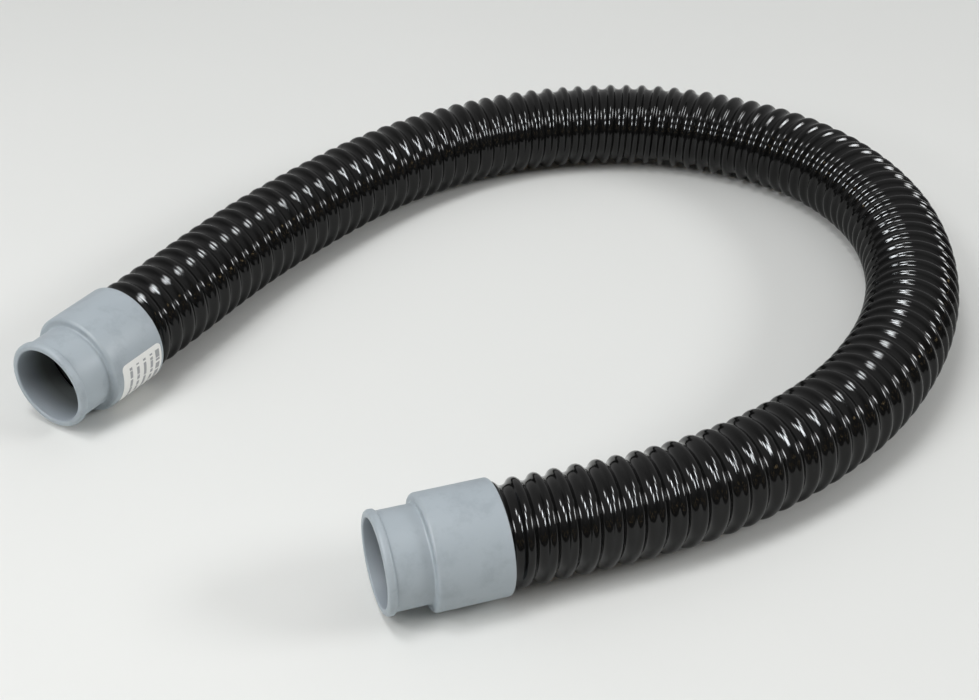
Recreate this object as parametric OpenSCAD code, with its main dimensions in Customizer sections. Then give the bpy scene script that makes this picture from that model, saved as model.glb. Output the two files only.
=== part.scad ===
// Flexible vacuum hose with a moulded cuff on each end, lying in a horseshoe on the floor.
// Millimetres, +Z up. The origin is on the floor, midway between the two cuffs.

/* [Hose] */
// Outside diameter over the ribs
hose_d = 48; // [47:0.1:48]
// Inside diameter of the smooth bore
hose_bore_d = 38; // [36:0.5:38]
// Thickness of the inner and of the outer vinyl ply
ply_t = 0.9; // [0.6:0.1:1]
// Diameter of the reinforcing wire
wire_d = 1.4; // [1.2:0.1:2]
// Turns of wire from one route point to the next
wire_turns = 6.6; // [5:0.1:8]

/* [Cuffs] */
// Outside diameter of the body that holds the hose
body_d = 52; // [51.5:0.1:53]
// Length of the body
body_l = 34; // [32:0.5:36]
// Outside diameter of the neck in front of the body
neck_d = 43.6; // [43:0.1:44]
// Length of the neck, its lip included
neck_l = 20.5; // [18:0.5:22]
// Outside diameter of the lip's bead
lip_d = 46; // [45:0.1:47]
// Length of the lip's bead
lip_l = 4; // [3.5:0.1:5]
// Inside diameter of the mouth
mouth_d = 39; // [38:0.1:39.5]
// Inside diameter of the socket that the hose is cemented into
socket_d = 48.6; // [48.5:0.1:49]
// Wall between the neck's bore and the socket
stop_t = 2; // [1.5:0.1:3]

/* [Label] */
// Length of the label along the cuff
label_l = 27; // [20:0.5:28]
// Angle that the label wraps round the cuff
label_wrap = 78; // [60:1:80]
// Thickness of the label
label_t = 0.15; // [0.1:0.05:0.3]

/* [Hidden] */
$fn = 96;

cuff_grey = [0.66, 0.70, 0.73];
vinyl_black = [0.05, 0.05, 0.055];
liner_black = [0.11, 0.11, 0.12];
steel = [0.62, 0.63, 0.65];
cement_amber = [0.75, 0.66, 0.42];
label_white = [0.93, 0.93, 0.91];

// Where each cuff's mouth is, and the way it faces into the hose
rear_mouth = [-103, 45];
rear_turn = 57.5;
front_mouth = [62, -82];
front_turn = 18.5;

// The hose starts this far behind a cuff's mouth, and its route points are about this far apart
hose_start = 24;
route_step = 64;

function cuff_axis(mouth, turn, a) =
    [mouth[0] + a * cos(turn), mouth[1] + a * sin(turn), body_d / 2];
function rear_axis(a) = cuff_axis(rear_mouth, rear_turn, a);
function front_axis(a) = cuff_axis(front_mouth, front_turn, a);

// The hose's centreline is a uniform cubic B-spline over these points, straight inside the cuffs
floor_route = [
    [-30, 170], [10, 225], [55, 275], [110, 310], [165, 325], [225, 325], [295, 290],
    [330, 235], [340, 175], [330, 110], [300, 50], [260, 5], [200, -35]];
route = concat(
    [for (i = [-1:1]) rear_axis(hose_start + i * route_step)],
    [for (p = floor_route) [p[0], p[1], hose_d / 2]],
    [for (i = [1:-1:-1]) front_axis(hose_start + i * route_step)]);
spans = len(route) - 3;

// Where the hose's six lengths meet, in spans from the rear cuff. The hose bends at three of those places.
rear_bend = 3;
rear_split = 5.5;
middle_bend = 8;
front_split = 10.5;
front_bend = 13;

sides = 12;             // of the tubes, and steps in each turn of the wire
rings_per_span = 4;
wire_sides = 4;
wire_gap = 0.45;        // from the wire to the outer ply
small_edge = 0.8;       // radius of the mouth's inner edge and the body's back edge
lip_edge = 1.6;
shoulder_edge = 1.8;
root_fillet = 1;
cement_t = 0.15;
cement_from = 26;       // behind the mouth
cement_to = 52;
label_top = 12;         // degrees above the cuff's side
label_gap = 2;          // from the label to the body's back edge

function hat(v) = v / norm(v);
function span_of(u) = min(floor(u), spans - 1);
function mix4(i, w) = w[0] * route[i] + w[1] * route[i + 1] + w[2] * route[i + 2] + w[3] * route[i + 3];

// A point of the centreline, u spans along it
function at(u) = let (i = span_of(u), t = u - i)
    mix4(i, [pow(1 - t, 3), 3 * pow(t, 3) - 6 * t * t + 4,
             -3 * pow(t, 3) + 3 * t * t + 3 * t + 1, pow(t, 3)]) / 6;

// The centreline's direction there
function heading(u) = let (i = span_of(u), t = u - i)
    hat(mix4(i, [-pow(1 - t, 2), 3 * t * t - 4 * t, -3 * t * t + 2 * t + 1, t * t]));

// The level direction across the hose, and the one that is nearly up
function across(u) = let (h = heading(u)) hat([h[1], -h[0], 0]);
function upward(u) = cross(across(u), heading(u));
function radial(u, angle) = cos(angle) * across(u) + sin(angle) * upward(u);

// Faces that join rings of m points, from point number first, with the rings' outside facing out
function skin(rings, m, first, out) = [
    for (k = [0:rings - 2], j = [0:m - 1])
        let (a = first + k * m + j, b = first + k * m + (j + 1) % m, c = b + m, d = a + m)
        each out ? [[a, b, c], [a, c, d]] : [[a, c, b], [a, d, c]]];

// A hollow tube along the centreline from u0 to u1
module tube(u0, u1, r_out, r_in) {
    n = round((u1 - u0) * rings_per_span) + 1;
    inner = n * sides;
    last = (n - 1) * sides;
    points = [for (r = [r_out, r_in], k = [0:n - 1], j = [0:sides - 1])
        let (u = u0 + (u1 - u0) * k / (n - 1)) at(u) + r * radial(u, 360 * j / sides)];
    ends = [for (j = [0:sides - 1]) let (next = (j + 1) % sides)
        each [[next, j, inner + j], [next, inner + j, inner + next],
              [last + j, last + next, inner + last + next],
              [last + j, inner + last + next, inner + last + j]]];
    polyhedron(points, concat(skin(n, sides, 0, true), skin(n, sides, inner, false), ends));
}

// The outer ply, over the wire
module cover(u0, u1) {
    color(vinyl_black) tube(u0, u1, hose_d / 2, hose_d / 2 - ply_t);
}

// The inner ply, with the smooth bore
module liner(u0, u1) {
    color(liner_black) tube(u0, u1, hose_bore_d / 2 + ply_t, hose_bore_d / 2);
}

// The wire's helix under the outer ply; its steps fall on the tubes' corners
module wire(u0, u1) {
    middle_r = hose_d / 2 - ply_t - wire_gap - wire_d / 2;
    steps_per_span = wire_turns * sides;
    first = ceil(u0 * steps_per_span + 0.5);
    last = floor(u1 * steps_per_span - 0.5);
    n = last - first + 1;
    points = [for (k = [first:last], j = [0:wire_sides - 1])
        let (u = k / steps_per_span, turn = 360 * k / sides, angle = 360 * j / wire_sides)
        at(u) + (middle_r + wire_d / 2 * cos(angle)) * radial(u, turn)
            - wire_d / 2 * sin(angle) * heading(u)];
    caps = [[for (j = [wire_sides - 1:-1:0]) j], [for (j = [0:wire_sides - 1]) (n - 1) * wire_sides + j]];
    color(steel) polyhedron(points, concat(skin(n, wire_sides, 0, true), caps));
}

// Points of an arc in a [radius, distance behind the mouth] profile
function bend(centre, r, from, to, n = 4) =
    [for (i = [0:n]) centre + r * [cos(from + (to - from) * i / n), sin(from + (to - from) * i / n)]];

// Puts a profile's axis on a cuff's axis, with the mouth at the given place
module on_cuff(mouth, turn) {
    translate([mouth[0], mouth[1], body_d / 2]) rotate([0, 0, turn]) rotate([0, 90, 0]) children();
}

// A one-piece cuff: lip bead, neck, shoulder, and the body with its socket
module cuff(mouth, turn) {
    length = neck_l + body_l;
    bead_h = (lip_d - neck_d) / 2;
    profile = concat(
        bend([mouth_d / 2 + small_edge, small_edge], small_edge, 180, 270),
        bend([lip_d / 2 - lip_edge, lip_edge], lip_edge, 270, 360),
        bend([neck_d / 2, lip_l - bead_h], bead_h, 0, 90),
        bend([neck_d / 2 + root_fillet, neck_l - root_fillet], root_fillet, 180, 90),
        bend([body_d / 2 - shoulder_edge, neck_l + shoulder_edge], shoulder_edge, 270, 360),
        bend([body_d / 2 - small_edge, length - small_edge], small_edge, 0, 90),
        [[socket_d / 2, length], [socket_d / 2, neck_l + stop_t], [mouth_d / 2, neck_l + stop_t]]);
    color(cuff_grey) on_cuff(mouth, turn) rotate_extrude() polygon(profile);
}

// The film of cement between a cuff's socket and the hose
module cement(mouth, turn) {
    color(cement_amber) on_cuff(mouth, turn) rotate_extrude()
        translate([socket_d / 2 - cement_t, cement_from]) square([cement_t, cement_to - cement_from]);
}

// The blank label round the rear cuff's outer side; angles run down from its level side
module label() {
    back = neck_l + body_l - label_gap;
    color(label_white) on_cuff(rear_mouth, rear_turn)
        rotate([0, 0, -90 - label_top]) rotate_extrude(angle = label_wrap)
            translate([body_d / 2, back - label_l]) square([label_t, label_l]);
}

cuff(rear_mouth, rear_turn);  // rear_cuff
cuff(front_mouth, front_turn);  // front_cuff
cement(rear_mouth, rear_turn);  // rear_cement
cement(front_mouth, front_turn);  // front_cement
label();  // cuff_label
cover(0, rear_bend);  // cover_rear_end
cover(rear_bend, rear_split);  // cover_rear_side
cover(rear_split, middle_bend);  // cover_rear_back
cover(middle_bend, front_split);  // cover_front_back
cover(front_split, front_bend);  // cover_front_side
cover(front_bend, spans);  // cover_front_end
liner(0, rear_bend);  // liner_rear_end
liner(rear_bend, rear_split);  // liner_rear_side
liner(rear_split, middle_bend);  // liner_rear_back
liner(middle_bend, front_split);  // liner_front_back
liner(front_split, front_bend);  // liner_front_side
liner(front_bend, spans);  // liner_front_end
wire(0, rear_bend);  // wire_rear_end
wire(rear_bend, rear_split);  // wire_rear_side
wire(rear_split, middle_bend);  // wire_rear_back
wire(middle_bend, front_split);  // wire_front_back
wire(front_split, front_bend);  // wire_front_side
wire(front_bend, spans);  // wire_front_end
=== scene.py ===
import math

import bpy
import numpy as np
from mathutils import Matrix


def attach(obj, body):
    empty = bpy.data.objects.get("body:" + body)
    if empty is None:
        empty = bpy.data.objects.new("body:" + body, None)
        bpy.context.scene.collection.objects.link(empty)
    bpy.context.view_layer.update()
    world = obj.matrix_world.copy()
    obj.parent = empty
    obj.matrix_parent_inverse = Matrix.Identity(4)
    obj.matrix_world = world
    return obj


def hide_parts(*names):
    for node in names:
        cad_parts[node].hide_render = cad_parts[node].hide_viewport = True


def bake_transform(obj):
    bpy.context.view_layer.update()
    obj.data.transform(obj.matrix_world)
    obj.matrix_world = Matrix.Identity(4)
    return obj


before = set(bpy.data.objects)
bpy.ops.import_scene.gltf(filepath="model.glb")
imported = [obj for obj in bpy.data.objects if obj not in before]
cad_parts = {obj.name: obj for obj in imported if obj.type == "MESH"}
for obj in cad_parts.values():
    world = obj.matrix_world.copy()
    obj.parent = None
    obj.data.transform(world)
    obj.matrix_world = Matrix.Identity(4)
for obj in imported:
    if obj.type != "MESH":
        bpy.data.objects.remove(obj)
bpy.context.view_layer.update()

MM = 0.001
TURN = 2 * math.pi
WHITE = (1, 1, 1)

# The camera: its place, its tilt below level in degrees, and its lens and sensor in mm
CAMERA_PLACE = (0.1104, -0.619, 0.5075)
CAMERA_DIP = 34.72
LENS, SENSOR = 62.51, 36

# The hose's route, as part.scad has it: each cuff's mouth and the way back along its axis, and the points
# between them on the floor
REAR_MOUTH, REAR_TURN = (-0.103, 0.045), math.radians(57.5)
FRONT_MOUTH, FRONT_TURN = (0.062, -0.082), math.radians(18.5)
HOSE_START, ROUTE_STEP = 24 * MM, 64 * MM
FLOOR_ROUTE = [
    (-0.03, 0.17), (0.01, 0.225), (0.055, 0.275), (0.11, 0.31), (0.165, 0.325), (0.225, 0.325), (0.295, 0.29),
    (0.33, 0.235), (0.34, 0.175), (0.33, 0.11), (0.3, 0.05), (0.26, 0.005), (0.2, -0.035)]
SPAN_SAMPLES = 200       # in each span of the route, to measure along it

# Where the hose is hinged and divided, in spans of the route
REAR_BEND, REAR_SPLIT, MIDDLE_BEND, FRONT_SPLIT, FRONT_BEND = 3, 5.5, 8, 10.5, 13
FLEX = 140 * MM          # the points this far each way from each hinge are found
PATH_POINTS = 60         # points of each length's path

# The hose's wall
HOSE_R, BORE_R, PLY = 24 * MM, 19 * MM, 0.9 * MM
PLY_GAP = 0.1 * MM
PITCH = 9.6 * MM
RIB_H, FLANK, CREST_SHARE = 2.7 * MM, 0.8 * MM, 0.42
WIRE_R, WIRE_GAP = 0.7 * MM, 0.45 * MM
BORE_RIPPLE = 0.15 * MM
HAND = 1                 # 1 for a left-hand helix, -1 for a right-hand one
AROUND = 56              # points round the hose
OUTER_STEPS, INNER_STEPS = 12, 6         # points on each of a rib's arcs

# How many ribs the hose is ahead of an even spacing, every DRIFT_STEP along it
DRIFT_STEP = 100 * MM
RIB_DRIFT = [0.25, 0.1, -0.05, -0.1, 0.05, 0.4, 0.95, 1, 0.7, 0.5, 0.3]
RIB_SAMPLES, RIB_MARGIN = 1201, 100 * MM
DRIFT_BLUR = 61          # samples that each smoothed value is the mean of

# The ribs' spacing wobbles by this much of a pitch, in two waves: the length of one radian, and the phase
WOBBLE, WOBBLE_WAVES = 0.02, [(7.3 * MM, 0), (4.7 * MM, 2)]

# The wall's swellings, slow and quick: height, the length of one radian of two waves along the hose, lobes
# round it, and two phases
SWELLS = [(0.06 * MM, 23 * MM, 41 * MM, 2, 0, 0), (0.03 * MM, 6.7 * MM, -17 * MM, 3, 0.6, 1.3)]

# The cuffs, as part.scad has them
BODY_R, BODY_L = 26 * MM, 34 * MM
NECK_R, NECK_L = 21.8 * MM, 20.5 * MM
LIP_R, LIP_L = 23 * MM, 4 * MM
MOUTH_R, SOCKET_R, STOP = 19.5 * MM, 24.3 * MM, 2 * MM
EDGE_ROUND, LIP_ROUND, SHOULDER_ROUND, ROOT_ROUND = 0.8 * MM, 1.6 * MM, 1.8 * MM, 1 * MM
SHARP = math.radians(50)

# The label: its length along the cuff, the angle where it starts and how far it wraps round in degrees
LABEL_L, LABEL_TOP, LABEL_WRAP = 27 * MM, 12, 78
LABEL_T, LABEL_GLUE, LABEL_GAP, LABEL_CORNER = 0.15 * MM, 0.01 * MM, 2 * MM, 2.5 * MM
LABEL_COLUMNS, CORNER_ROWS, MIDDLE_ROWS = 10, 6, 24

# The label's rules, in mm: the first one's start, their spacing, and where they begin and end round the cuff
RULES, RULE_START, RULE_STEP = 5, 1.5, 4.8
RULE_FROM, RULE_TO = 3, 31
HEAVY_RULE, LIGHT_RULE = 0.58, 0.38      # of the spacing
BREAK_SCALE, BREAK_LEVEL = 0.55, 0.42    # of the noise that breaks them
ROW_SHIFT = 7.3                          # between one rule's noise and the next's

# The lamps: name, azimuth, elevation, distance, width, height and power. Azimuth 0 is behind the hose, 90 to
# its right.
LAMPS = [
    ("right_lamp", 97, 29, 3, 1.4, 0.7, 32),
    ("left_lamp_low", -131, 29, 1.9, 0.45, 0.35, 5),
    ("left_lamp_middle", -131, 49, 1.9, 0.6, 0.5, 9),
    ("left_lamp_high", -131, 73, 1.9, 0.6, 0.5, 9)]
# Lamps that only make reflections
GLINTS = [
    ("right_glint", 97, 29, 2.95, 0.7, 0.4, 12),
    ("left_glint_low", -131, 29, 1.85, 0.6, 0.3, 13),
    ("left_glint_middle", -131, 49, 1.85, 0.45, 0.3, 16),
    ("left_glint_high", -131, 73, 1.85, 0.35, 0.3, 5)]
GLINT_COLOR = (0.9, 0.96, 1)
# Small warm lamps, far off behind the camera: azimuth and elevation
WARM_PLACES = [(-178, 12), (-163, 20), (-148, 12), (168, 19), (152, 12), (135, 18)]
WARM_DISTANCE, WARM_SIZE, WARM_POWER, WARM_COLOR = 3, (0.1, 0.14), 0.4, (1, 0.75, 0.4)
LAMP_TARGET = np.array([0.12, 0.13, 0])

# The room: its dim and bright strength, and the stretch of each axis over which it brightens
ROOM_DIM, ROOM_BRIGHT = 0.08, 0.5
ROOM_FADES = [("Y", -0.5, 0.5), ("Z", 0.4, 0.85)]
FLOOR_HALF = 8


# ---------------------------------------------------------------- camera

def make_camera():
    data = bpy.data.cameras.new("camera")
    data.sensor_width = SENSOR
    data.lens = LENS
    camera = bpy.data.objects.new("camera", data)
    camera.location = CAMERA_PLACE
    camera.rotation_euler = (math.radians(90 - CAMERA_DIP), 0, 0)
    bpy.context.scene.collection.objects.link(camera)
    bpy.context.scene.camera = camera


# ---------------------------------------------------------------- the hose's centreline

def cuff_axis(mouth, turn, along):
    """A point on a cuff's axis, that far behind its mouth."""
    return (mouth[0] + along * math.cos(turn), mouth[1] + along * math.sin(turn), BODY_R)


def hat(v):
    return v / np.linalg.norm(v, axis=-1, keepdims=True)


ROUTE = np.array(
    [cuff_axis(REAR_MOUTH, REAR_TURN, HOSE_START + i * ROUTE_STEP) for i in (-1, 0, 1)]
    + [(x, y, HOSE_R) for x, y in FLOOR_ROUTE]
    + [cuff_axis(FRONT_MOUTH, FRONT_TURN, HOSE_START + i * ROUTE_STEP) for i in (1, 0, -1)])
SPANS = len(ROUTE) - 3


def weighted(u, weights):
    """The route's points around each u, weighted by how far u is into its span."""
    first = np.minimum(u.astype(int), SPANS - 1)
    w = weights(u - first)
    return sum(w[k][..., None] * ROUTE[first + k] for k in range(4))


def at(u):
    """The centreline, a uniform cubic B-spline, u spans along it."""
    def weights(t):
        return [(1 - t) ** 3, 3 * t**3 - 6 * t * t + 4, -3 * t**3 + 3 * t * t + 3 * t + 1, t**3]

    return weighted(u, weights) / 6


def heading(u):
    """The centreline's direction, from its derivative."""
    def weights(t):
        return [-((1 - t) ** 2), 3 * t * t - 4 * t, -3 * t * t + 2 * t + 1, t * t]

    return hat(weighted(u, weights))


FINE_U = np.linspace(0, SPANS, SPANS * SPAN_SAMPLES + 1)
FINE_S = np.concatenate([[0], np.cumsum(np.linalg.norm(np.diff(at(FINE_U), axis=0), axis=1))])
HOSE_L = float(FINE_S[-1])


def length_to(u):
    return float(np.interp(u, FINE_U, FINE_S))


def centreline(s):
    return at(np.interp(s, FINE_S, FINE_U))


def frames(s, angle):
    """Points that far along the centreline, and there the directions out at that angle, ahead and round."""
    u = np.interp(s, FINE_S, FINE_U)
    ahead = heading(u)
    across = hat(np.stack([ahead[..., 1], -ahead[..., 0], 0 * ahead[..., 0]], -1))
    up = np.cross(across, ahead)
    cos, sin = np.cos(angle)[..., None], np.sin(angle)[..., None]
    return at(u), cos * across + sin * up, ahead, cos * up - sin * across


# ---------------------------------------------------------------- the ribs

def count_ribs(s):
    """How many ribs lie behind each place on the hose's right side, with their drift and wobble."""
    drift = np.interp(s, DRIFT_STEP * np.arange(len(RIB_DRIFT)), RIB_DRIFT)
    padded = np.pad(drift, DRIFT_BLUR // 2, mode="edge")
    smooth = np.convolve(padded, np.ones(DRIFT_BLUR) / DRIFT_BLUR, mode="valid")
    wobble = sum(np.sin(s / wave + phase) for wave, phase in WOBBLE_WAVES)
    return s / PITCH + smooth + WOBBLE * wobble


RIB_S = np.linspace(-RIB_MARGIN, HOSE_L + RIB_MARGIN, RIB_SAMPLES)
RIB_NUMBER = count_ribs(RIB_S)


def rib_number(s):
    return np.interp(s, RIB_S, RIB_NUMBER)


def rib_place(number):
    return np.interp(number, RIB_NUMBER, RIB_S)


def unevenness(s, angle):
    """How far the wall swells there, up to about 0.1 mm."""
    swell = 0
    for height, wave, other, lobes, lag, phase in SWELLS:
        swing = np.sin(s / wave + lobes * np.sin(angle + lag))
        swell = swell + height * swing * np.sin(lobes * angle + s / other + phase)
    return swell


def rib_profile(depth, steps):
    """A rib's crest and valley, arcs with straight flanks between, that deep under the surface. Each point
    has its place in the pitch, its radius, and its normal's parts ahead and out."""
    arcs = ((PITCH / 2) ** 2 + RIB_H**2 - FLANK**2) / (2 * RIB_H)
    steep = math.atan2(PITCH / 2, arcs - RIB_H) - math.atan(FLANK / arcs)
    crest, valley = CREST_SHARE * arcs, (1 - CREST_SHARE) * arcs
    t = np.linspace(-steep, steep, steps)
    hump, dip = crest - depth, valley + depth
    crest_r, valley_r = HOSE_R - crest, HOSE_R - RIB_H + valley
    return np.concatenate([
        np.transpose([hump * np.sin(t), crest_r + hump * np.cos(t), np.sin(t), np.cos(t)]),
        np.transpose([PITCH / 2 + dip * np.sin(t), valley_r - dip * np.cos(t), -np.sin(t), np.cos(t)])])


def plain_profile(radius, ripple=0.0, points=6):
    """A profile like a rib's, but straight or with a slight ripple."""
    share = np.arange(points) / points
    return np.stack([PITCH * share, radius + ripple * np.cos(TURN * share), 0 * share, 1 + 0 * share], -1)


# ---------------------------------------------------------------- meshes

def new_piece(name, points, faces, material, normals=None):
    """A shown piece with smooth faces and, where they are given, its points' normals."""
    mesh = bpy.data.meshes.new(name)
    mesh.from_pydata(np.asarray(points).tolist(), [], faces)
    mesh.polygons.foreach_set("use_smooth", [True] * len(mesh.polygons))
    mesh.update()
    if normals is not None:
        mesh.normals_split_custom_set_from_vertices(np.asarray(normals).tolist())
    mesh.materials.append(material)
    piece = bpy.data.objects.new(name, mesh)
    bpy.context.scene.collection.objects.link(piece)
    return piece


def cut_profile(profile, s, column):
    """The radius and the normal's parts where the ring at s cuts the ribs, at each column round the hose."""
    place_in_rib = (rib_number(s) - HAND * column / AROUND) % 1
    order = np.argsort(profile[:, 0])
    wrapped = np.concatenate([profile[order], profile[order[:1]] + [PITCH, 0, 0, 0]])
    x = (place_in_rib * PITCH - wrapped[0, 0]) % PITCH + wrapped[0, 0]
    return [np.interp(x, wrapped[:, 0], wrapped[:, k]) for k in (1, 2, 3)]


def bend_skin(s, theta, radius, tip, rise):
    """A skin's points and normals on the hose's curve, with the wall's unevenness."""
    step, small_turn = 0.2 * MM, 0.01
    along = (unevenness(s + step, theta) - unevenness(s - step, theta)) / (2 * step)
    around = (unevenness(s, theta + small_turn) - unevenness(s, theta - small_turn)) / (2 * small_turn)
    middle, out, ahead, sideways = frames(s, theta)
    points = middle + (radius + unevenness(s, theta))[:, None] * out
    twist = HAND * PITCH / TURN / radius
    normals = hat(rise[:, None] * out + (tip - rise * along)[:, None] * ahead
                  - (tip * twist + rise * around / radius)[:, None] * sideways)
    return points, normals


def skin_faces(ids, per_rib, first_point, inward):
    """Faces between the rows of points. Once round the hose a row becomes the next rib's same row."""
    shifted = np.clip(np.arange(len(ids)) + HAND * per_rib, 0, len(ids) - 1)
    ids = np.concatenate([ids, ids[shifted, :1]], axis=1)
    quads = np.stack([ids[:-1, :-1], ids[1:, :-1], ids[1:, 1:], ids[:-1, 1:]], -1).reshape(-1, 4)
    faces = []
    for quad in quads.tolist():
        corners = list(dict.fromkeys(quad))
        if len(corners) > 2:
            faces.append([first_point + c for c in (reversed(corners) if inward else corners)])
    return faces


def ribbed_skin(start, end, profile, first_point, inward=False):
    """A helically ribbed tube from start to end along the hose: its points, the end rings' first, its normals
    and its faces. Its rows follow the ribs, and past an end they are gathered on that end's ring."""
    per_rib = len(profile)
    low = math.floor(rib_number(start)) - 2
    high = math.ceil(rib_number(end)) + 2
    turns = np.repeat(np.arange(low, high), per_rib)
    rows = np.tile(profile, (high - low, 1))
    column = np.arange(AROUND)
    grid_s = rib_place((turns + rows[:, 0] / PITCH)[:, None] + HAND * column / AROUND)
    inside = (grid_s > start) & (grid_s < end)
    ids = np.where(grid_s <= start, column, AROUND + column)
    ids[inside] = 2 * AROUND + np.arange(inside.sum())

    row, col = np.nonzero(inside)
    ring_s = np.repeat([start, end], AROUND)
    ring_col = np.tile(column, 2)
    ring_values = cut_profile(profile, ring_s, ring_col)
    radius, tip, rise = [np.concatenate([ring_values[k], rows[row, k + 1]]) for k in range(3)]
    s = np.concatenate([ring_s, grid_s[row, col]])
    theta = TURN * np.concatenate([ring_col, col]) / AROUND
    points, normals = bend_skin(s, theta, radius, tip, rise)
    if inward:
        normals = -normals
    return points, normals, skin_faces(ids, per_rib, first_point, inward)


def ribbed_wall(name, start, end, outer, inner, material):
    """A closed tube wall between two ribbed skins, with a flat ring at each end."""
    points, normals, faces = ribbed_skin(start, end, outer, 0)
    under = len(points)
    more, more_normals, more_faces = ribbed_skin(start, end, inner, under, inward=True)
    for j in range(AROUND):
        k = (j + 1) % AROUND
        faces.append([j, k, under + k, under + j])
        faces.append([AROUND + k, AROUND + j, under + AROUND + j, under + AROUND + k])
    return new_piece(name, np.concatenate([points, more]), faces + more_faces, material,
                     np.concatenate([normals, more_normals]))


def wire(name, start, end, material, steps=20, sides=6, short=0.03):
    """The wire's helix under the ribs' crests, steps points a turn, cut a little short of each end."""
    turns = np.arange(rib_number(start) + short, rib_number(end) - short, 1 / steps)
    middle, out, ahead, _ = frames(rib_place(turns), HAND * TURN * turns)
    middle = middle + (HOSE_R - PLY - WIRE_GAP - WIRE_R) * out
    a = (-HAND * TURN * np.arange(sides) / sides)[None, :, None]
    ring = WIRE_R * (np.cos(a) * out[:, None] + np.sin(a) * ahead[:, None])
    points = (middle[:, None] + ring).reshape(-1, 3)
    faces = [list(range(sides)), [len(points) - 1 - i for i in range(sides)]]
    for k in range(len(turns) - 1):
        for i in range(sides):
            n = (i + 1) % sides
            faces.append([k * sides + n, k * sides + i, (k + 1) * sides + i, (k + 1) * sides + n])
    return new_piece(name, points, faces, material)


def cuff_frame(mouth, turn):
    """The middle of a cuff's mouth, and the directions back along its axis and to its side."""
    forward = np.array([math.cos(turn), math.sin(turn), 0])
    side = np.array([math.sin(turn), -math.cos(turn), 0])
    return np.array([*mouth, BODY_R]), forward, side


def lathe(name, profile, mouth, turn, material, sides=128):
    """A closed shape turned about a cuff's axis, from a ring of points: distance behind the mouth and radius.
    The mesh keeps both at each point, in mm, for the material's painted shade in the bore."""
    base, forward, side = cuff_frame(mouth, turn)
    up = np.array([0, 0, 1])
    n = len(profile)
    points = [base + a * forward + r * (math.cos(t) * side + math.sin(t) * up)
              for t in TURN * np.arange(sides) / sides for a, r in profile]
    faces = []
    for k in range(sides):
        m = (k + 1) % sides
        for i in range(n):
            j = (i + 1) % n
            faces.append([k * n + i, k * n + j, m * n + j, m * n + i])
    piece = new_piece(name, points, faces, material)
    piece.data.set_sharp_from_angle(angle=SHARP)
    for field, column in (("depth", 0), ("radius", 1)):
        layer = piece.data.attributes.new(field, "FLOAT", "POINT")
        layer.data.foreach_set("value", [point[column] / MM for point in profile] * sides)
    return piece


# ---------------------------------------------------------------- materials

class Nodes:
    """A new material's node tree, with short calls for its nodes."""

    def __init__(self, name):
        self.material = bpy.data.materials.new(name)
        self.material.use_nodes = True
        self.tree = self.material.node_tree
        self.shader = self.tree.nodes["Principled BSDF"]

    def put(self, made, key, value):
        """Links or sets an input."""
        if isinstance(value, bpy.types.NodeSocket):
            self.tree.links.new(value, made.inputs[key])
        else:
            made.inputs[key].default_value = value

    def node(self, kind, inputs, **settings):
        made = self.tree.nodes.new("ShaderNode" + kind)
        for key, value in settings.items():
            setattr(made, key, value)
        for key, value in inputs.items():
            self.put(made, key, value)
        return made

    def set(self, **inputs):
        """Sets the shader's inputs, named with _ for each space."""
        for key, value in inputs.items():
            self.put(self.shader, key.replace("_", " "), value)

    def noise(self, scale, detail=2.0, roughness=0.5, vector=None):
        place = vector or self.node("TexCoord", {}).outputs["Object"]
        inputs = {"Vector": place, "Scale": scale, "Detail": detail, "Roughness": roughness}
        return self.node("TexNoise", inputs).outputs["Fac"]

    def math(self, operation, a, b=0):
        return self.node("Math", {0: a, 1: b}, operation=operation).outputs[0]

    def range(self, value, low, high, to_low, to_high):
        return self.node("MapRange", {"Value": value, "From Min": low, "From Max": high,
                                      "To Min": to_low, "To Max": to_high}).outputs["Result"]

    def spread(self, noise, low, high):
        """A value from low to high, as most of the noise lies."""
        return self.range(noise, 0.3, 0.7, low, high)

    def mix(self, factor, a, b):
        """A colour from a to b, given as red, green, blue or as a socket."""
        made = self.node("Mix", {0: factor}, data_type="RGBA")
        for key, color in ((6, a), (7, b)):
            self.put(made, key, (*color, 1) if isinstance(color, tuple) else color)
        return made.outputs[2]

    def bump(self, height, strength, distance, under=None):
        made = self.node("Bump", {"Height": height, "Strength": strength, "Distance": distance})
        if under is not None:
            self.put(made, "Normal", under)
        return made.outputs["Normal"]

    def field(self, name):
        """A value that the mesh's points keep."""
        return self.node("Attribute", {}, attribute_name=name).outputs["Fac"]


def cover_material():
    """Glossy black vinyl, with a coarse orange peel and a fine one."""
    m = Nodes("glossy_black_vinyl")
    cloud = m.noise(90, 3)
    peel = m.bump(m.noise(170), 0.3, 0.12 * MM)
    m.set(Base_Color=m.mix(cloud, (0.003, 0.003, 0.003), (0.006, 0.006, 0.006)),
          Roughness=m.spread(cloud, 0.08, 0.13),
          IOR=1.36,
          Normal=m.bump(m.noise(480, 3), 0.2, 0.12 * MM, under=peel))
    return m.material


def liner_material():
    m = Nodes("smooth_black_vinyl")
    m.set(Base_Color=(0.08, 0.08, 0.083, 1),
          Roughness=m.spread(m.noise(150), 0.28, 0.4))
    return m.material


def wire_material():
    m = Nodes("spring_steel")
    m.set(Base_Color=(0.5, 0.5, 0.52, 1),
          Metallic=1.0,
          Roughness=m.spread(m.noise(700), 0.25, 0.4))
    return m.material


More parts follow.
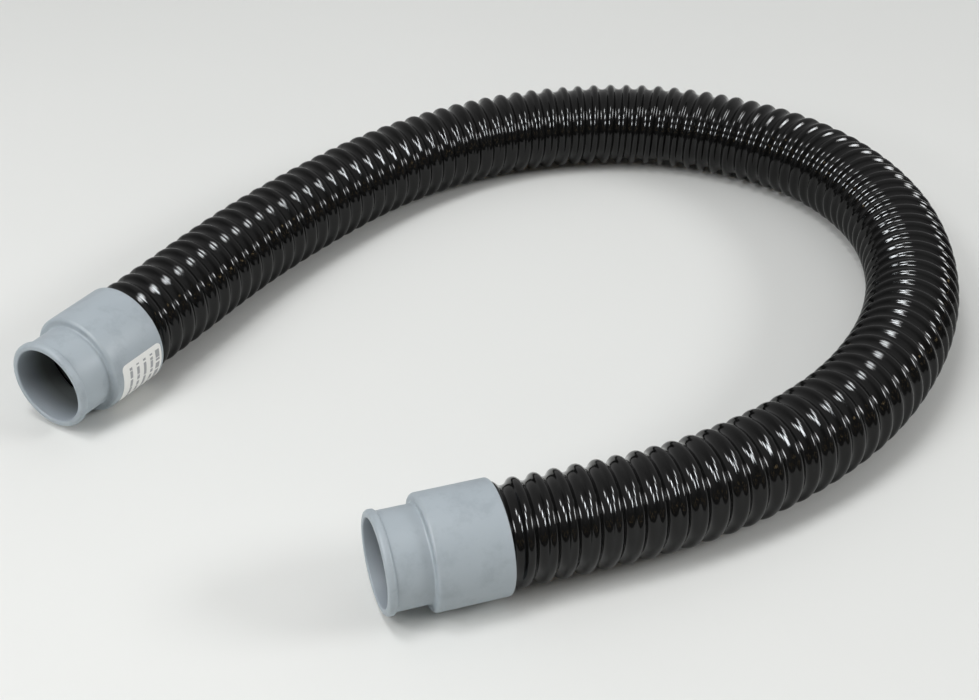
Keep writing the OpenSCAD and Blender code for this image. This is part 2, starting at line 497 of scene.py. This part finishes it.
def cuff_material():
    """Grey vinyl with slow clouds, darker scuffs and a fine grain. The bore's colour is painted shade: a
    little darker than the outside at the mouth, and darker still with its depth in mm.
    """
    m = Nodes("grey_moulded_vinyl")
    cloud = m.noise(38, 3)
    clean = m.mix(cloud, (0.33, 0.375, 0.41), (0.375, 0.425, 0.46))
    scuffs = m.range(m.noise(70, 6, 0.65), 0.5, 0.64, 0, 0.55)
    face = m.mix(scuffs, clean, (0.28, 0.32, 0.352))
    # Painted shade: the bore goes from its mouth colour to near black between 1 and 16 mm in.
    deep = m.range(m.field("depth"), 1, 16, 0, 1)
    bore = m.mix(deep, (0.3, 0.34, 0.38), (0.09, 0.1, 0.1))
    in_bore = m.math("LESS_THAN", m.field("radius"), MOUTH_R / MM + 0.5)
    m.set(Base_Color=m.mix(in_bore, face, bore),
          Roughness=m.spread(cloud, 0.42, 0.58),
          IOR=1.45,
          Normal=m.bump(m.noise(700, 3), 0.15, 0.1 * MM))
    return m.material


def cement_material():
    m = Nodes("vinyl_cement")
    m.set(Base_Color=m.mix(m.noise(120), (0.55, 0.42, 0.2), (0.7, 0.56, 0.3)),
          Roughness=0.2)
    return m.material


def label_ink(m):
    """1 on the label's rules, which run round the cuff and break here and there. The first is heaviest."""
    place = m.node("SeparateXYZ", {0: m.node("UVMap", {}, uv_map="printed").outputs["UV"]})
    along, around = place.outputs["X"], place.outputs["Y"]
    steps = m.math("DIVIDE", m.math("SUBTRACT", along, RULE_START), RULE_STEP)
    row = m.math("FLOOR", steps)
    lighter = m.math("MULTIPLY", m.math("GREATER_THAN", row, 0.5), HEAVY_RULE - LIGHT_RULE)
    on_rule = m.math("LESS_THAN", m.math("FRACT", steps), m.math("SUBTRACT", HEAVY_RULE, lighter))
    spot = m.node("CombineXYZ", {0: m.math("MULTIPLY", row, ROW_SHIFT), 1: around}).outputs[0]
    conditions = [
        m.math("GREATER_THAN", row, -0.5),
        m.math("LESS_THAN", row, RULES - 0.5),
        m.math("GREATER_THAN", around, RULE_FROM),
        m.math("LESS_THAN", around, RULE_TO),
        m.math("GREATER_THAN", m.noise(BREAK_SCALE, 1, vector=spot), BREAK_LEVEL)]
    for condition in conditions:
        on_rule = m.math("MULTIPLY", on_rule, condition)
    return on_rule


def label_material():
    m = Nodes("label_paper")
    paper = m.mix(m.noise(200), (0.78, 0.78, 0.76), (0.84, 0.84, 0.82))
    m.set(Base_Color=m.mix(label_ink(m), paper, (0.33, 0.34, 0.35)),
          Roughness=0.45)
    return m.material


def floor_material():
    m = Nodes("pale_paper")
    m.set(Base_Color=m.mix(m.noise(3, 3), (0.71, 0.72, 0.705), (0.75, 0.76, 0.745)),
          Roughness=0.8,
          Specular_IOR_Level=0.2,
          Normal=m.bump(m.noise(300, 4), 0.05, 0.2 * MM))
    return m.material


# ---------------------------------------------------------------- the hose

def make_hose():
    """Three lengths of cover, liner and wire that meet end to end, in place of the model's own pieces, which
    are hidden.
    """
    cover_look, liner_look, wire_look = cover_material(), liner_material(), wire_material()
    outer, inner = rib_profile(0, OUTER_STEPS), rib_profile(PLY, INNER_STEPS)
    liner_back = plain_profile(HOSE_R - RIB_H - PLY - PLY_GAP)
    bore = plain_profile(BORE_R, BORE_RIPPLE)
    lengths = [
        ("rear", 0, REAR_SPLIT, REAR_BEND, "rear_end", "rear_half", "rear_end", "rear_side"),
        ("back", REAR_SPLIT, FRONT_SPLIT, MIDDLE_BEND, "rear_half", "front_half", "rear_back", "front_back"),
        ("front", FRONT_SPLIT, SPANS, FRONT_BEND, "front_half", "front_end", "front_side", "front_end")]
    for name, from_u, to_u, bend, body_a, body_b, *nodes in lengths:
        start, end, hinge = [length_to(u) for u in (from_u, to_u, bend)]
        cover = ribbed_wall(f"{name}_cover", start, end, outer, inner, cover_look)
        liner = ribbed_wall(f"{name}_liner", start, end, liner_back, bore, liner_look)
        helix = wire(f"{name}_wire", start, end, wire_look)
        flex_start, flex_end = centreline(np.array([hinge - FLEX, hinge + FLEX])).tolist()
        for piece, kind, slot in ((cover, "cover", "cover_vinyl"), (liner, "liner", "liner_vinyl"),
                                  (helix, "wire", "spring_wire")):
            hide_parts(*[f"{kind}_{node}" for node in nodes])
            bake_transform(piece)
        path = centreline(np.linspace(start, end, PATH_POINTS)).tolist()


# ---------------------------------------------------------------- cuffs, label and cement

def arc(a, r, radius, start, end, n=6):
    """Points of an arc in a cuff's profile. Angles in degrees run from outwards towards the hose."""
    turns = np.radians(np.linspace(start, end, n + 1))
    return [(a + radius * math.sin(t), r + radius * math.cos(t)) for t in turns]


def cuff_profile():
    length = NECK_L + BODY_L
    bead = LIP_R - NECK_R
    return (arc(EDGE_ROUND, MOUTH_R + EDGE_ROUND, EDGE_ROUND, -180, -90)
            + arc(LIP_ROUND, LIP_R - LIP_ROUND, LIP_ROUND, -90, 0)
            + arc(LIP_L - bead, NECK_R, bead, 0, 90)
            + arc(NECK_L - ROOT_ROUND, NECK_R + ROOT_ROUND, ROOT_ROUND, 180, 90)
            + arc(NECK_L + SHOULDER_ROUND, BODY_R - SHOULDER_ROUND, SHOULDER_ROUND, -90, 0)
            + arc(length - EDGE_ROUND, BODY_R - EDGE_ROUND, EDGE_ROUND, 0, 90)
            + [(length, SOCKET_R), (NECK_L + STOP, SOCKET_R), (NECK_L + STOP, MOUTH_R)])


def make_cuffs():
    look = cuff_material()
    for name, mouth, turn in (("rear", REAR_MOUTH, REAR_TURN), ("front", FRONT_MOUTH, FRONT_TURN)):
        cuff = lathe(f"{name}_cuff_moulding", cuff_profile(), mouth, turn, look)
        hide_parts(f"{name}_cuff")
        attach(cuff, f"{name}_end")


def label_rows(wrap):
    """The label's rows, by how far down it they are, closest together in its round corners."""
    corner = LABEL_CORNER * (1 - np.cos(np.linspace(0, math.pi / 2, CORNER_ROWS)))
    middle = np.linspace(LABEL_CORNER, wrap - LABEL_CORNER, MIDDLE_ROWS)[1:-1]
    return np.concatenate([corner, middle, wrap - corner[::-1]])


def label_points():
    """The label's face and back, row by row, and each point's distance from its two edges."""
    base, forward, side = cuff_frame(REAR_MOUTH, REAR_TURN)
    wrap = math.radians(LABEL_WRAP) * BODY_R
    back = NECK_L + BODY_L - LABEL_GAP
    points, places = [], []
    for lift in (LABEL_T, LABEL_GLUE):
        for d in label_rows(wrap):
            edge = max(LABEL_CORNER - min(d, wrap - d), 0)
            inset = LABEL_CORNER - math.sqrt(LABEL_CORNER**2 - edge**2)
            angle = math.radians(LABEL_TOP) - d / BODY_R
            out = math.cos(angle) * side + math.sin(angle) * np.array([0, 0, 1])
            for a in np.linspace(back - LABEL_L + inset, back - inset, LABEL_COLUMNS + 1):
                points.append(base + a * forward + (BODY_R + lift) * out)
                places.append((back - a, d))
    return points, places


def sheet_faces(width, height):
    """Faces of a thin sheet whose face and back are grids of width by height points, with its rim."""
    half = width * height
    faces = []
    for k in range(height - 1):
        for i in range(width - 1):
            a = k * width + i
            b = a + 1
            c = b + width
            d = a + width
            faces.append([d, c, b, a])
            faces.append([half + a, half + b, half + c, half + d])
    rim = (list(range(width)) + [k * width + width - 1 for k in range(1, height)]
           + [(height - 1) * width + i for i in range(width - 2, -1, -1)]
           + [k * width for k in range(height - 2, 0, -1)])
    for a, b in zip(rim, rim[1:] + rim[:1]):
        faces.append([a, b, half + b, half + a])
    return faces


def make_label():
    """A round-cornered label that follows the rear cuff's body."""
    points, places = label_points()
    width = LABEL_COLUMNS + 1
    faces = sheet_faces(width, len(points) // (2 * width))
    label = new_piece("cuff_label_sheet", points, faces, label_material())
    layer = label.data.uv_layers.new(name="printed")
    for loop in label.data.loops:
        layer.data[loop.index].uv = [v / MM for v in places[loop.vertex_index]]
    label.data.set_sharp_from_angle(angle=SHARP)
    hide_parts("cuff_label")
    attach(label, "rear_end")


def dress_cement():
    look = cement_material()
    for name in ("rear_cement", "front_cement"):
        node = bpy.data.objects[name]
        node.data.materials.clear()
        node.data.materials.append(look)


# ---------------------------------------------------------------- stage and light

def make_floor():
    half = FLOOR_HALF
    mesh = bpy.data.meshes.new("floor")
    corners = [(-half, -half, 0), (half, -half, 0), (half, half, 0), (-half, half, 0)]
    mesh.from_pydata(corners, [], [(0, 1, 2, 3)])
    mesh.materials.append(floor_material())
    floor = bpy.data.objects.new("floor", mesh)
    bpy.context.scene.collection.objects.link(floor)


def lamp(name, azimuth, elevation, distance, width, height, power, color=WHITE):
    """An oval lamp aimed at the hose's middle."""
    a, e = math.radians(azimuth), math.radians(elevation)
    way = np.array([math.sin(a) * math.cos(e), math.cos(a) * math.cos(e), math.sin(e)])
    data = bpy.data.lights.new(name, "AREA")
    data.shape = "ELLIPSE"
    data.size = width
    data.size_y = height
    data.energy = power
    data.color = color
    light = bpy.data.objects.new(name, data)
    light.location = LAMP_TARGET + distance * way
    light.rotation_euler = (math.pi / 2 - e, 0, math.pi - a)
    bpy.context.scene.collection.objects.link(light)
    return light


def make_lamps():
    for row in LAMPS:
        lamp(*row)
    for row in GLINTS:
        lamp(*row, GLINT_COLOR).visible_diffuse = False
    for number, place in enumerate(WARM_PLACES, 1):
        lamp(f"far_warm_lamp_{number}", *place, WARM_DISTANCE, *WARM_SIZE, WARM_POWER, WARM_COLOR)


def make_room():
    """A room that is bright above and behind the hose, and dim behind the camera."""
    world = bpy.data.worlds.new("room")
    bpy.context.scene.world = world
    world.use_nodes = True
    tree = world.node_tree
    place = tree.nodes.new("ShaderNodeTexCoord")
    split = tree.nodes.new("ShaderNodeSeparateXYZ")
    tree.links.new(place.outputs["Generated"], split.inputs[0])
    brighter = tree.nodes.new("ShaderNodeMath")
    brighter.operation = "MAXIMUM"
    for slot, (axis, low, high) in enumerate(ROOM_FADES):
        ramp = tree.nodes.new("ShaderNodeMapRange")
        ends = {"From Min": low, "From Max": high, "To Min": ROOM_DIM, "To Max": ROOM_BRIGHT}
        for key, value in ends.items():
            ramp.inputs[key].default_value = value
        tree.links.new(split.outputs[axis], ramp.inputs["Value"])
        tree.links.new(ramp.outputs["Result"], brighter.inputs[slot])
    background = tree.nodes["Background"]
    tree.links.new(brighter.outputs[0], background.inputs["Strength"])
    background.inputs["Color"].default_value = (*WHITE, 1)


make_camera()
make_hose()
make_cuffs()
make_label()
dress_cement()
make_floor()
make_lamps()
make_room()
bpy.context.scene.view_settings.view_transform = "Standard"
